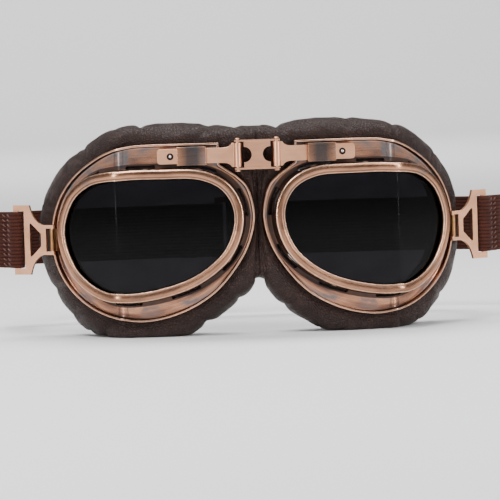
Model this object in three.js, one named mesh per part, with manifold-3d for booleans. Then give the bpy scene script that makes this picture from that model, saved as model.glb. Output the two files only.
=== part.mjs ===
// Motorcycle goggles: two copper eye frames on leather cushions, hinged at an adjustable bridge,
// with folding strap brackets and an elastic strap.
// Millimetres, +Z up, +X to the viewer's right, -Y towards the viewer. The goggles stand on the
// two flats under their cushions. The right side is modelled and the left side is its mirror image.
import * as THREE from 'three';
import { mergeVertices } from 'three/addons/utils/BufferGeometryUtils.js';
import Module from 'manifold-3d';

const wasm = await Module();
wasm.setup();

// ---------------------------------------------------------------- driving dimensions
const GAP = 0.35;                    // clearance between neighbouring pieces
const DEG = Math.PI / 180;

const innerWrap = 9 * DEG;           // lean of the inner pane away from straight ahead
const outerWrap = 29 * DEG;          // extra lean of the outer pane
const foldU = 61;                    // distance of the crease from the middle
const foldRadius = 2.5;              // crease radius at the ring floor
const eyeZ = 46;                     // height of the point that the outlines are measured from

const floorBack = 1.0;               // ring sheet, from its front face at depth 0
const lipRise = 2.2;
const lipThick = 0.9;
const wallTop = 5.4;
const slotCount = 9;
const slotLength = 11;

const bezelWidth = 4.1;
const paneInset = 2.6;
const paneFront = -5.0;
const paneBack = -3.2;

const bridgeZ = 79.6;
const pinU = 8.2;
const pinRadius = 0.65;
const armDepth = -3.1;               // middle of the arm's thickness
const sheet = 1.2;                   // arms, link plate and brackets
const knuckleRadius = 1.7;
const armHalfHeight = 3.35;
const armEnd = 43.5;
const rivetU = 37.8;
const sleeveStart = 22;
const sleeveEnd = 34.7;

const bracketU = 95.5;
const bracketDepth = -3.7;
const bracketZ = 43.6;
const bracketTurn = 33 * DEG;        // direction of the bracket at rest
const bracketLength = 19.8;

const webWidth = 25;
const webThick = 1.5;
const slideY = 116;                  // middle of the strap slide, behind the head
const strapDrop = 3;                 // the back of the strap hangs this much lower

const cushionDepth = 24;
const coverThick = 1.2;
const noseHalfFront = 1.8;           // half of the gap between the cushions at the front
const noseFlare = 0.17;              // growth of that half gap with depth
const noseLobe = 5;                  // width of each cushion beside the nose

const stationCount = 48;

// ---------------------------------------------------------------- materials
const finish = (color, roughness, metalness) => () =>
  new THREE.MeshStandardMaterial({ color, roughness, metalness });
const satinCopper = finish(0xd9b297, 0.38, 1);
const agedCopper = finish(0xa87a60, 0.42, 1);
const brass = finish(0xaa7d50, 0.45, 1);
const smokedLens = finish(0x14151a, 0.06, 0);
const rubber = finish(0x111112, 0.7, 0);
const leather = finish(0x463c3b, 0.6, 0);
const foam = finish(0x2b2b2d, 0.95, 0);
const lining = finish(0x1d1c1e, 0.95, 0);
const webbing = finish(0x5f3328, 0.9, 0);

// ---------------------------------------------------------------- solids
function fromTriangles(positions, indices) {
  const geometry = new THREE.BufferGeometry();
  geometry.setAttribute('position', new THREE.Float32BufferAttribute(positions, 3));
  geometry.setIndex(indices);
  return geometry;
}

function welded(geometry) {
  const bare = geometry.clone();
  bare.deleteAttribute('normal');
  bare.deleteAttribute('uv');
  return mergeVertices(bare, 1e-4);
}

function toSolid(geometry) {
  const bare = welded(geometry);
  return new wasm.Manifold(new wasm.Mesh({
    numProp: 3,
    vertProperties: new Float32Array(bare.attributes.position.array),
    triVerts: new Uint32Array(bare.index.array),
  }));
}

function toGeometry(solid) {
  const mesh = solid.getMesh();
  return fromTriangles(Array.from(mesh.vertProperties), Array.from(mesh.triVerts));
}

// Joins the first geometries and takes the second ones away.
function carve(joined, removed = []) {
  let solid = toSolid(joined[0]);
  for (const piece of joined.slice(1)) {
    solid = solid.add(toSolid(piece));
  }
  for (const piece of removed) {
    solid = solid.subtract(toSolid(piece));
  }
  return toGeometry(solid);
}

function signedVolume(positions, indices) {
  const corner = (i) => new THREE.Vector3().fromArray(positions, 3 * indices[i]);
  let volume = 0;
  for (let i = 0; i < indices.length; i += 3) {
    volume += corner(i).dot(corner(i + 1).cross(corner(i + 2)));
  }
  return volume;
}

// Skins equal rows of points, each row a closed section. A closed loft joins the last row to the
// first, and an open one is capped with fans.
function loft(rows, closed) {
  const width = rows[0].length;
  const positions = rows.flat().flatMap((point) => point.toArray());
  const indices = [];
  const last = closed ? rows.length : rows.length - 1;
  for (let i = 0; i < last; i += 1) {
    const here = i * width;
    const next = ((i + 1) % rows.length) * width;
    for (let j = 0; j < width; j += 1) {
      const k = (j + 1) % width;
      indices.push(here + j, next + j, next + k, here + j, next + k, here + k);
    }
  }
  if (!closed) {
    const end = (rows.length - 1) * width;
    for (let j = 1; j < width - 1; j += 1) {
      indices.push(0, j, j + 1, end, end + j + 1, end + j);
    }
  }
  if (signedVolume(positions, indices) < 0) {
    for (let i = 0; i < indices.length; i += 3) {
      [indices[i + 1], indices[i + 2]] = [indices[i + 2], indices[i + 1]];
    }
  }
  return fromTriangles(positions, indices);
}

// ---------------------------------------------------------------- the bent frame surface
// u runs outward along the frame, z is up, and depth is measured backwards from the ring floor.
function place(u, z, depth) {
  const arcHalf = (foldRadius * outerWrap) / 2;
  const along = Math.min(u, foldU - arcHalf);
  const turned = THREE.MathUtils.clamp((u - (foldU - arcHalf)) / foldRadius, 0, outerWrap);
  const beyond = Math.max(u - (foldU + arcHalf), 0);
  const heading = innerWrap + turned;
  const x = along * Math.cos(innerWrap) + foldRadius * (Math.sin(heading) - Math.sin(innerWrap))
    + beyond * Math.cos(heading) - depth * Math.sin(heading);
  const y = along * Math.sin(innerWrap) + foldRadius * (Math.cos(innerWrap) - Math.cos(heading))
    + beyond * Math.sin(heading) + depth * Math.cos(heading);
  return new THREE.Vector3(x, y, z);
}

const flatPoint = ([u, z]) => new THREE.Vector3(u, z, 0);

function smooth(points, closed = false) {
  return new THREE.CatmullRomCurve3(points.map(flatPoint), closed, 'centripetal');
}

// An outline as its distance from the crease point at each angle.
function polar(curves) {
  const table = curves
    .flatMap((curve) => curve.getSpacedPoints(160))
    .map((point) => point.sub(flatPoint([foldU, eyeZ])))
    .map((ray) => ({ angle: Math.atan2(ray.y, ray.x), reach: Math.hypot(ray.x, ray.y) }))
    .sort((a, b) => a.angle - b.angle);
  table.unshift({ angle: table.at(-1).angle - 2 * Math.PI, reach: table.at(-1).reach });
  table.push({ angle: table[1].angle + 2 * Math.PI, reach: table[1].reach });
  return (angle) => {
    const wrapped = Math.atan2(Math.sin(angle), Math.cos(angle));
    const after = table.findIndex((entry) => entry.angle > wrapped);
    const [low, high] = [table[after - 1], table[after]];
    const share = (wrapped - low.angle) / (high.angle - low.angle);
    return THREE.MathUtils.lerp(low.reach, high.reach, share);
  };
}

const line = (from, to) => new THREE.LineCurve3(flatPoint(from), flatPoint(to));

// Outer edge of the bezel, a rounded teardrop.
const bezelReach = polar([smooth([
  [24, 73.2], [42, 74.1], [61, 73.7], [74, 71.2], [84.5, 63.5], [90.3, 50], [89, 38.5],
  [82.5, 27], [71.5, 19], [61, 16.2], [44, 17.6], [25.6, 23.9], [11.9, 35.2], [6.4, 48.4],
  [7.1, 59], [13, 68],
], true)]);

// Outer edge of the ring, with a squared shoulder behind the bridge arm.
const shoulder = { outer: [16.5, 85.1], inner: [16.5, 75.6], foot: [9.3, 70.8], flatEnd: [45, 85.1] };
const ringReach = polar([
  line(shoulder.flatEnd, shoulder.outer),
  line(shoulder.outer, shoulder.inner),
  line(shoulder.inner, shoulder.foot),
  smooth([
    shoulder.foot, [4.6, 66], [1.6, 55], [2.3, 46.8], [5.8, 37.2], [11.8, 28], [19.8, 19.4],
    [29.7, 13], [41, 8.8], [52, 7.2], [61, 8.2], [72.2, 11.2], [82, 16.4], [89.3, 23],
    [94.8, 32], [97.1, 43], [95.6, 54.6], [91, 64.2], [83.8, 72], [75.2, 77.8], [65.8, 82.2],
    [56, 84.6], shoulder.flatEnd,
  ]),
]);

// Widest outline of the cushion. It runs down the middle of the nose.
const noseTop = [1.5, 91.6];
const noseArch = [1.5, 23.5];
const cushionReach = polar([
  line(noseArch, noseTop),
  smooth([
    noseTop, [22, 92.4], [45, 92.8], [60, 91.4], [71.5, 88], [83.5, 81.5], [94, 72], [101.8, 59.5],
    [104.5, 45], [102.5, 31], [96, 18], [85.5, 7], [71.5, -0.6], [57, -3.4], [44, -3.2], [33, -0.4],
    [22.5, 5.4], [9.6, 14.8], noseArch,
  ]),
]);

// ---------------------------------------------------------------- stations round the eye
const reachPoint = (reach, angle) => new THREE.Vector2(
  foldU + reach(angle) * Math.cos(angle),
  eyeZ + reach(angle) * Math.sin(angle),
);

function outwardNormal(reach, angle) {
  const step = 0.004;
  const along = reachPoint(reach, angle + step).sub(reachPoint(reach, angle - step));
  return new THREE.Vector2(along.y, -along.x).normalize();
}

const cornerAngle = ([u, z]) => Math.atan2(z - eyeZ, u - foldU);

// Angles an equal distance apart along the bezel, starting at the nose side.
function evenAngles(count) {
  const fine = 720;
  const at = (i) => 2 * Math.PI * (i / fine - 0.5);
  const lengths = [0];
  for (let i = 1; i <= fine; i += 1) {
    const leg = reachPoint(bezelReach, at(i)).distanceTo(reachPoint(bezelReach, at(i - 1)));
    lengths.push(lengths[i - 1] + leg);
  }
  return Array.from({ length: count }, (_, k) => {
    const wanted = (lengths[fine] * (k + 0.5)) / count;
    return at(lengths.findIndex((length) => length >= wanted));
  });
}

const foldSpread = 1.3 * DEG;
const fixedAngles = [
  cornerAngle(shoulder.outer), cornerAngle(shoulder.inner), cornerAngle(shoulder.foot),
  cornerAngle(noseTop), cornerAngle(noseArch),
  Math.PI / 2 - foldSpread, Math.PI / 2 + foldSpread,
  -Math.PI / 2 - foldSpread, -Math.PI / 2 + foldSpread,
];
const tooNear = 1.5 * DEG;
const stations = [
  ...evenAngles(stationCount).filter((a) => fixedAngles.every((b) => Math.abs(a - b) > tooNear)),
  ...fixedAngles,
].sort((a, b) => a - b);

// A point a millimetres outside the bezel's outline at a station.
function nearBezel(angle, a, depth) {
  const normal = outwardNormal(bezelReach, angle);
  const edge = reachPoint(bezelReach, angle).addScaledVector(normal, a);
  return place(edge.x, edge.y, depth);
}

function nearRing(angle, a, depth) {
  const ray = reachPoint(ringReach, angle);
  const inward = new THREE.Vector2(foldU, eyeZ).sub(ray).normalize();
  const square = Math.max(0.55, -inward.dot(outwardNormal(ringReach, angle)));
  ray.addScaledVector(inward, -a / square);
  return place(ray.x, ray.y, depth);
}

const sweepBezel = (profile) =>
  loft(stations.map((angle) => profile.map(([a, depth]) => nearBezel(angle, a, depth))), true);

// ---------------------------------------------------------------- eye frame
const wallFootA = 0.4;

function frameRing() {
  const rows = stations.map((angle) => [
    nearBezel(angle, -0.9, -wallTop),
    nearBezel(angle, -0.1, -wallTop),
    nearBezel(angle, wallFootA, 0),
    nearRing(angle, -lipThick, 0),
    nearRing(angle, -lipThick, -lipRise),
    nearRing(angle, 0, -lipRise),
    nearRing(angle, 0, floorBack),
    nearBezel(angle, -0.4, floorBack),
  ]);
  const bezelLength = 236;
  const slotShare = slotLength / bezelLength;
  const slots = evenAngles(slotCount).map((middle) => {
    const spread = Math.PI * slotShare * (36 / bezelReach(middle));
    const cuts = [-1, -0.5, 0, 0.5, 1].map((t) => middle + t * spread);
    return loft(cuts.map((angle) => [
      nearBezel(angle, -2, -wallTop + 0.9),
      nearBezel(angle, 1.5, -wallTop + 0.9),
      nearBezel(angle, 1.5, -0.4),
      nearBezel(angle, -2, -0.4),
    ]), false);
  });
  return carve([loft(rows, true)], slots);
}

const lensBezel = () => sweepBezel([
  [0, -5.75], [0, -6.8], [-1.2, -7.4], [1.2 - bezelWidth, -7.4], [-bezelWidth, -6.8],
  [-bezelWidth, -5.75],
]);

const lensGasket = () => sweepBezel([
  [-1.3, paneFront], [-1.3, -2.1], [-4.6, -2.1], [-4.6, -2.8], [-2.25, -2.8],
  [-2.25, paneFront],
]);

// A flat pane: its edge points, in the plane of its facet, drawn out to the pane's thickness.
// The facet starts at the crease, and the pane stops short of its neighbour there.
function lensPane(side) {
  const arcHalf = (foldRadius * outerWrap) / 2;
  const tangentU = foldU + side * arcHalf;
  const reach = (foldRadius - paneBack) * Math.tan(outerWrap / 2) - 0.2;
  const edge = stations
    .map((angle) => {
      const normal = outwardNormal(bezelReach, angle);
      return reachPoint(bezelReach, angle).addScaledVector(normal, -paneInset);
    })
    .filter((point) => side * (point.x - tangentU) > 0.5);
  const meeting = [Math.PI / 2, -Math.PI / 2].map((angle) =>
    new THREE.Vector2(tangentU - side * reach, reachPoint(bezelReach, angle).y
      - Math.sign(angle) * paneInset));
  const outline = [...edge, ...meeting];
  const middle = new THREE.Vector2(tangentU + side * 15, eyeZ);
  outline.sort((p, q) => p.clone().sub(middle).angle() - q.clone().sub(middle).angle());
  const heading = side < 0 ? innerWrap : innerWrap + outerWrap;
  const onFacet = (point, depth) => place(tangentU, point.y, depth).add(new THREE.Vector3(
    (point.x - tangentU) * Math.cos(heading),
    (point.x - tangentU) * Math.sin(heading),
    0,
  ));
  return loft([paneFront, paneBack].map((depth) => outline.map((p) => onFacet(p, depth))), false);
}

// ---------------------------------------------------------------- bridge
function roundedBar(x0, x1, halfHeight, radius) {
  const shape = new THREE.Shape();
  shape.moveTo(x0, -halfHeight);
  shape.lineTo(x1 - radius, -halfHeight);
  shape.quadraticCurveTo(x1, -halfHeight, x1, radius - halfHeight);
  shape.lineTo(x1, halfHeight - radius);
  shape.quadraticCurveTo(x1, halfHeight, x1 - radius, halfHeight);
  shape.lineTo(x0, halfHeight);
  shape.closePath();
  return shape;
}

// Extrudes a shape drawn in the x-z plane to a thickness centred on y = 0.
function standing(shape, thickness) {
  const geometry = new THREE.ExtrudeGeometry(shape, {
    depth: thickness, bevelEnabled: false, curveSegments: 8,
  });
  geometry.translate(0, 0, -thickness / 2);
  geometry.rotateX(Math.PI / 2);
  return geometry;
}

function upright(radius, height, segments = 12) {
  const geometry = new THREE.CylinderGeometry(radius, radius, height, segments);
  geometry.rotateX(Math.PI / 2);
  return geometry;
}

const pinPoint = place(pinU, bridgeZ, armDepth);
const linkHalfHeight = 5.75;
const earThick = 0.7;
const earHalfDepth = 1.35;

function bridgeLinkPlate() {
  const halfWidth = 5.8;
  const notch = 3.4;
  const shape = new THREE.Shape();
  shape.moveTo(-halfWidth, -linkHalfHeight);
  shape.lineTo(halfWidth, -linkHalfHeight);
  shape.lineTo(halfWidth, -notch);
  shape.absarc(halfWidth, 0, notch, -Math.PI / 2, Math.PI / 2, true);
  shape.lineTo(halfWidth, linkHalfHeight);
  shape.lineTo(-halfWidth, linkHalfHeight);
  shape.lineTo(-halfWidth, notch);
  shape.absarc(-halfWidth, 0, notch, Math.PI / 2, -Math.PI / 2, true);
  shape.closePath();
  const ears = [1, -1].map((side) => {
    const ear = new THREE.BoxGeometry(2 * (pinPoint.x + earHalfDepth), 2 * earHalfDepth, earThick);
    ear.translate(0, 0, side * (linkHalfHeight + earThick / 2));
    return ear;
  });
  const holes = [1, -1].map((side) => {
    const hole = upright(pinRadius + GAP, 4 * linkHalfHeight);
    hole.translate(side * pinPoint.x, 0, 0);
    return hole;
  });
  return carve([standing(shape, sheet), ...ears], holes);
}

function hingePin() {
  const top = linkHalfHeight + earThick + GAP;
  const head = 1.25;
  const points = [
    [0, -top - 0.5], [head, -top - 0.5], [head, -top], [pinRadius, -top], [pinRadius, top],
    [head, top], [0.8, top + 0.55], [0, top + 0.65],
  ].map(([r, z]) => new THREE.Vector2(r, z));
  const geometry = new THREE.LatheGeometry(points, 12);
  geometry.rotateX(Math.PI / 2);
  return geometry;
}

const rivetHole = 1.45;
const armU = (u) => u - pinU;

function bridgeArm() {
  const teeHalf = 5.3;
  const teeEnd = 3.3;
  const shape = roundedBar(armU(14.5), armU(armEnd), armHalfHeight, 1.6);
  const tee = new THREE.Shape();
  tee.moveTo(0, -teeHalf);
  tee.lineTo(teeEnd - 0.8, -teeHalf);
  tee.quadraticCurveTo(teeEnd, -armHalfHeight, armU(14.5) + 0.4, -armHalfHeight);
  tee.lineTo(armU(14.5) + 0.4, armHalfHeight);
  tee.quadraticCurveTo(teeEnd, armHalfHeight, teeEnd - 0.8, teeHalf);
  tee.lineTo(0, teeHalf);
  tee.closePath();
  const hole = new THREE.CylinderGeometry(rivetHole, rivetHole, 4, 14);
  hole.translate(armU(rivetU), 0, 0);
  return carve(
    [standing(shape, sheet), standing(tee, sheet), upright(knuckleRadius, 2 * teeHalf)],
    [upright(pinRadius + GAP, 4 * teeHalf), hole],
  );
}

function stopRivet() {
  const back = 0.6 + GAP;
  const ball = 0.85;
  const points = [
    [0, -back - 0.7], [1.6, -back - 0.7], [1.6, -back], [ball, -back], [ball, 0.3],
    [0.7, 0.8], [0.35, 1.05], [0, 1.15],
  ].map(([r, y]) => new THREE.Vector2(r, y));
  const geometry = new THREE.LatheGeometry(points, 12);
  geometry.rotateX(Math.PI);
  return geometry;
}

function bridgeSleeve() {
  const outerHalf = 4.1;
  const inner = { half: armHalfHeight + 0.3, front: -armDepth + sheet / 2 + 0.3 };
  inner.back = inner.front - sheet - 1.1;
  const box = new THREE.BoxGeometry(sleeveEnd - sleeveStart, 4.5, 2 * outerHalf);
  box.translate((sleeveEnd - sleeveStart) / 2, -0.3 - 2.25, 0);
  const hollow = new THREE.BoxGeometry(40, inner.front - inner.back, 2 * inner.half);
  hollow.translate(0, -(inner.front + inner.back) / 2, 0);
  return carve([box], [hollow]);
}

// ---------------------------------------------------------------- strap bracket
const hinge = place(bracketU, bracketZ, bracketDepth);
const barRadius = 0.6;
const knuckleBore = 0.92;
const knuckleOuter = 1.2;
const slotHalf = 5.15;
const outerBarIn = 17.2;

function bracketKnuckle() {
  const foot = new THREE.BoxGeometry(1.1, 2.4, 9.6);
  foot.translate(-0.85, -bracketDepth - 0.3 - 1.2, 0);
  return carve([upright(knuckleOuter, 9.6), foot], [upright(knuckleBore, 12, 16)]);
}

function strapBracket() {
  const half = { lug: 6.6, tee: 15.5, window: 7.2, cross: 2.8 };
  const shape = new THREE.Shape();
  shape.moveTo(-0.9, -half.lug);
  shape.lineTo(4.6, -half.lug);
  shape.quadraticCurveTo(9.6, -8, 11.4, -half.tee);
  shape.lineTo(bracketLength, -half.tee);
  shape.lineTo(bracketLength, half.tee);
  shape.lineTo(11.4, half.tee);
  shape.quadraticCurveTo(9.6, 8, 4.6, half.lug);
  shape.lineTo(-0.9, half.lug);
  shape.closePath();
  const windowHole = new THREE.Path();
  windowHole.moveTo(5.6, -half.cross);
  windowHole.lineTo(5.6, half.cross);
  windowHole.lineTo(10.4, half.window);
  windowHole.quadraticCurveTo(11.4, half.window + 0.6, 11.4, half.window - 0.8);
  windowHole.lineTo(11.4, 0.8 - half.window);
  windowHole.quadraticCurveTo(11.4, -half.window - 0.6, 10.4, -half.window);
  windowHole.closePath();
  shape.holes.push(windowHole);
  const knuckleSlot = new THREE.BoxGeometry(4.2, 4, 2 * slotHalf);
  knuckleSlot.translate(0.9, 0, 0);
  const webSlot = new THREE.BoxGeometry(outerBarIn - 14.2, 4, webWidth + 2 * GAP);
  webSlot.translate((outerBarIn + 14.2) / 2, 0, 0);
  return carve([
    carve([standing(shape, sheet)], [knuckleSlot, webSlot]),
    upright(barRadius, 2 * slotHalf + 1, 10),
  ]);
}

// ---------------------------------------------------------------- strap
// Plan view of one strap half. Distances are from the bracket's hinge, along and across it.
const across = { x: -Math.sin(bracketTurn), y: Math.cos(bracketTurn) };
const bracketPlan = (b, d) => new THREE.Vector2(
  hinge.x + b * Math.cos(bracketTurn) + d * across.x,
  hinge.y + b * Math.sin(bracketTurn) + d * across.y,
);
const foldOver = sheet / 2 + GAP + webThick / 2;        // centre of the web from the bar's middle
const slideBar = 9.5;                                   // middle of each slide bar from X = 0
const slideBarHalf = 1.0;

// Five points round a bar, from one side of it to the other.
function roundBar(centre, start, sweep, radius) {
  return [0, 1, 2, 3, 4].map((i) => {
    const angle = start + (sweep * i) / 4;
    return new THREE.Vector2(
      centre.x + radius * Math.cos(angle),
      centre.y + radius * Math.sin(angle),
    );
  });
}

function strapRoute() {
  const bracketFold = roundBar(
    bracketPlan(outerBarIn + 0.35, 0), bracketTurn - Math.PI / 2, -Math.PI, foldOver,
  );
  const run = new THREE.CatmullRomCurve3([
    bracketPlan(bracketLength + 1.5, foldOver), bracketPlan(bracketLength + 9, foldOver),
    new THREE.Vector2(120, 72), new THREE.Vector2(115, 92), new THREE.Vector2(97, 108),
    new THREE.Vector2(66, 115), new THREE.Vector2(35, slideY + foldOver),
    new THREE.Vector2(slideBar + 5, slideY + foldOver),
  ].map((p) => new THREE.Vector3(p.x, p.y, 0)), false, 'centripetal');
  const slideFold = roundBar(
    { x: slideBar - 0.6, y: slideY }, Math.PI / 2, Math.PI, foldOver,
  );
  return [
    bracketPlan(bracketLength + 6, -foldOver),
    ...bracketFold,
    ...run.getSpacedPoints(26).map((p) => new THREE.Vector2(p.x, p.y)),
    ...slideFold,
    new THREE.Vector2(slideBar + 16, slideY - foldOver),
  ];
}

// A ribbon of the web's thickness along a plan route, standing webWidth tall.
function strapHalf() {
  const route = strapRoute();
  const rows = route.map((point, i) => {
    const before = route[Math.max(i - 1, 0)];
    const after = route[Math.min(i + 1, route.length - 1)];
    const along = after.clone().sub(before).normalize();
    const side = new THREE.Vector2(-along.y, along.x).multiplyScalar(webThick / 2);
    const back = THREE.MathUtils.smoothstep(point.y, hinge.y + 15, slideY - 10);
    const middle = bracketZ - strapDrop * back;
    return [[1, 1], [-1, 1], [-1, -1], [1, -1]].map(([s, v]) => new THREE.Vector3(
      point.x + s * side.x, point.y + s * side.y, middle + (v * webWidth) / 2,
    ));
  });
  return loft(rows, false);
}

function strapSlide() {
  const shape = new THREE.Shape();
  const half = { x: slideBar + slideBarHalf, z: webWidth / 2 + 3 };
  shape.moveTo(-half.x, -half.z);
  shape.lineTo(half.x, -half.z);
  shape.lineTo(half.x, half.z);
  shape.lineTo(-half.x, half.z);
  shape.closePath();
  const opening = new THREE.BoxGeometry(2 * (slideBar - slideBarHalf), 4, webWidth + 2 * GAP);
  return carve([standing(shape, sheet)], [opening]);
}

// ---------------------------------------------------------------- cushions
// A cushion section is drawn in (t, y): t = 0 at the bezel, 1 at the ring's edge, 2 at the
// cushion's widest line, and y is the depth behind the ring.
const frontY = floorBack + GAP + 0.1;
const coverSection = [
  { t: 0.96, y: frontY, wall: 'outer' },
  { t: 1.85, y: 4.5, wall: 'outer' },
  { t: 2.0, y: 11, wall: 'outer' },
  { t: 1.9, y: 18, wall: 'outer' },
  { t: 1.2, y: cushionDepth - 1, wall: 'outer' },
  { t: 0.45, y: cushionDepth, wall: 'inner' },
  { t: -0.05, y: cushionDepth - 3, wall: 'inner' },
  { t: -0.05, y: frontY, wall: 'inner' },
];

// Distance from the crease point to a place t in the section.
function sectionReach(angle, t) {
  const [bezel, ring, cushion] = [bezelReach, ringReach, cushionReach].map((f) => f(angle));
  return t < 1
    ? THREE.MathUtils.lerp(bezel, ring, t)
    : THREE.MathUtils.lerp(ring, Math.max(cushion, ring + 0.8), t - 1);
}

// The cover's section drawn smaller, so that each side moves into the leather by the distance.
// The front edge stays level, and only its outer corner moves in.
function insetSection(angle, distance) {
  const section = coverSection.map(({ t, y }) => new THREE.Vector2(sectionReach(angle, t), y));
  const reaches = section.map((point) => point.x);
  const middle = (Math.max(...reaches) + Math.min(...reaches)) / 2;
  const width = Math.max(...reaches) - Math.min(...reaches);
  const depth = cushionDepth - frontY;
  return section.map((point, i) => {
    const share = (point.y - frontY) / depth;
    const narrowed = middle + (point.x - middle) * (1 - (2 * distance) / width);
    return new THREE.Vector2(
      i === 0 ? Math.min(narrowed, point.x - distance) : narrowed,
      share > 0 ? point.y + distance * (0.7 - 1.7 * share) : point.y,
    );
  });
}

// Puts a section point in space. Beside the nose the cushion keeps clear of the middle, and the
// underside is flat.
function cushionPoint(angle, point, wall, distance) {
  const u = foldU + point.x * Math.cos(angle);
  const z = eyeZ + point.x * Math.sin(angle);
  const spot = place(u, Math.max(z, distance), frontY);
  spot.y += point.y - frontY;
  const edge = wall === 'outer' ? distance : noseLobe - distance;
  spot.x = Math.max(spot.x, noseHalfFront + noseFlare * spot.y + edge);
  return spot;
}

function cushionRow(angle, distance) {
  return insetSection(angle, distance).map((point, i) =>
    cushionPoint(angle, point, coverSection[i].wall, distance));
}

const cushionStations = stations.filter((_, i) => i % 2 === 0
  || fixedAngles.includes(stations[i]));

const cushionLayer = (distance, front = 0) => loft(cushionStations.map((angle) => {
  const row = cushionRow(angle, distance);
  row[0].y -= front;
  row.at(-1).y -= front;
  return row;
}), true);

// A trough of leather, open towards the frame.
const cushionCover = () => carve([cushionLayer(0)], [cushionLayer(coverThick, 1)]);

const foamCore = () => cushionLayer(coverThick + GAP);

function faceLining() {
  const start = cushionDepth + GAP;
  return loft(cushionStations.map((angle) => {
    const spots = [[0.1, start], [1.15, start], [1.15, start + 1.6], [0.1, start + 1.6]];
    return spots.map(([t, y], i) => {
      const wall = i === 1 || i === 2 ? 'outer' : 'inner';
      return cushionPoint(angle, new THREE.Vector2(sectionReach(angle, t), y), wall, 0.8);
    });
  }), true);
}

function noseGusset() {
  const front = 5.2;
  const back = cushionDepth - 1;
  const half = (y) => noseHalfFront + noseFlare * y - GAP;
  const rows = [noseArch[1] + 1, noseTop[1] - 1.5].map((z) => [
    new THREE.Vector3(-half(front), front, z), new THREE.Vector3(half(front), front, z),
    new THREE.Vector3(half(back), back, z), new THREE.Vector3(-half(back), back, z),
  ]);
  return loft(rows, false);
}

// ---------------------------------------------------------------- assembly
const goggles = new THREE.Group();

function addPiece(parent, name, geometry, material) {
  const piece = new THREE.Mesh(geometry, material());
  piece.name = name;
  parent.add(piece);
  return piece;
}

const link = addPiece(goggles, 'bridge_link_plate', bridgeLinkPlate(), satinCopper);
link.position.set(0, pinPoint.y, bridgeZ);
addPiece(goggles, 'nose_gusset', noseGusset(), leather);
const slide = addPiece(goggles, 'strap_slide', strapSlide(), satinCopper);
slide.position.set(0, slideY, bracketZ - strapDrop);

for (const [side, mirror] of [['right', 1], ['left', -1]]) {
  const half = new THREE.Group();
  half.scale.x = mirror;
  goggles.add(half);

  const bridge = new THREE.Group();
  bridge.position.copy(pinPoint);
  half.add(bridge);
  addPiece(bridge, `${side}_hinge_pin`, hingePin(), satinCopper);
  const arm = new THREE.Group();
  arm.rotation.z = innerWrap;
  bridge.add(arm);
  addPiece(arm, `${side}_bridge_arm`, bridgeArm(), satinCopper);
  const rivet = addPiece(arm, `${side}_stop_rivet`, stopRivet(), satinCopper);
  rivet.position.x = armU(rivetU);

  const sleeve = addPiece(half, `${side}_bridge_sleeve`, bridgeSleeve(), agedCopper);
  sleeve.position.copy(place(sleeveStart, bridgeZ, 0));
  sleeve.rotation.z = innerWrap;
  addPiece(half, `${side}_frame_ring`, frameRing(), agedCopper);
  addPiece(half, `${side}_lens_bezel`, lensBezel(), agedCopper);
  addPiece(half, `${side}_lens_gasket`, lensGasket(), rubber);
  addPiece(half, `${side}_inner_pane`, lensPane(-1), smokedLens);
  addPiece(half, `${side}_outer_pane`, lensPane(1), smokedLens);
  addPiece(half, `${side}_cushion_cover`, cushionCover(), leather);
  addPiece(half, `${side}_foam_core`, foamCore(), foam);
  addPiece(half, `${side}_face_lining`, faceLining(), lining);

  const knuckle = addPiece(half, `${side}_bracket_knuckle`, bracketKnuckle(), brass);
  knuckle.position.copy(hinge);
  knuckle.rotation.z = innerWrap + outerWrap;
  const bracket = addPiece(half, `${side}_strap_bracket`, strapBracket(), satinCopper);
  bracket.position.copy(hinge);
  bracket.rotation.z = bracketTurn;
  addPiece(half, `${side}_strap`, strapHalf(), webbing);
}

// The origin is under the middle of the whole object, strap included.
const extent = new THREE.Box3().setFromObject(goggles);
goggles.position.y = -(extent.min.y + extent.max.y) / 2;

export default goggles;
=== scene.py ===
# Motorcycle goggles: the visual model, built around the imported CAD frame.
# Sections are worked out in millimetres in the CAD's own layout and turned into metres by mm().
import bpy
import bmesh
import math
import numpy as np
from mathutils import Matrix, Vector, noise
from mathutils.kdtree import KDTree


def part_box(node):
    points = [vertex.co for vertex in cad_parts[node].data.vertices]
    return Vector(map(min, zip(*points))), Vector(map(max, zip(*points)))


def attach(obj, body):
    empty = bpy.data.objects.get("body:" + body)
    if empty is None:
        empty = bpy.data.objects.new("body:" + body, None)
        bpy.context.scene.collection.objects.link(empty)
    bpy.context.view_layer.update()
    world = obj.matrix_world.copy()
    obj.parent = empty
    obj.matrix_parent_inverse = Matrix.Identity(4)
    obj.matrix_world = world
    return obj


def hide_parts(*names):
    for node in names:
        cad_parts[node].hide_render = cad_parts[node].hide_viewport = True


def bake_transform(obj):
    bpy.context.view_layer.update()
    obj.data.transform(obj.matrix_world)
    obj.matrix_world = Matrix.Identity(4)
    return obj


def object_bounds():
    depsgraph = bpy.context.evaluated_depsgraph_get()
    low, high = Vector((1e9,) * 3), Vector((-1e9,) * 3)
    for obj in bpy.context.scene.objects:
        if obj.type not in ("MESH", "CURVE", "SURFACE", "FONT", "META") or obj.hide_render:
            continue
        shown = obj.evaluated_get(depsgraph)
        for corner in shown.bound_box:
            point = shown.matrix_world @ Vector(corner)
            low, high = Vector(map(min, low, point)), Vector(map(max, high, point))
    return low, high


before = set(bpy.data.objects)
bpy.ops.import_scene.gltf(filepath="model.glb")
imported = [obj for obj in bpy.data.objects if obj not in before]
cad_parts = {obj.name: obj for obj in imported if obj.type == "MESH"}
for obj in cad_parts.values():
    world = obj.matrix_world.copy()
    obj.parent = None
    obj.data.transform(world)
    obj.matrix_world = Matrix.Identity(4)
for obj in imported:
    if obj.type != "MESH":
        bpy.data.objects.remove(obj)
cad_low, cad_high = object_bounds()

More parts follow.
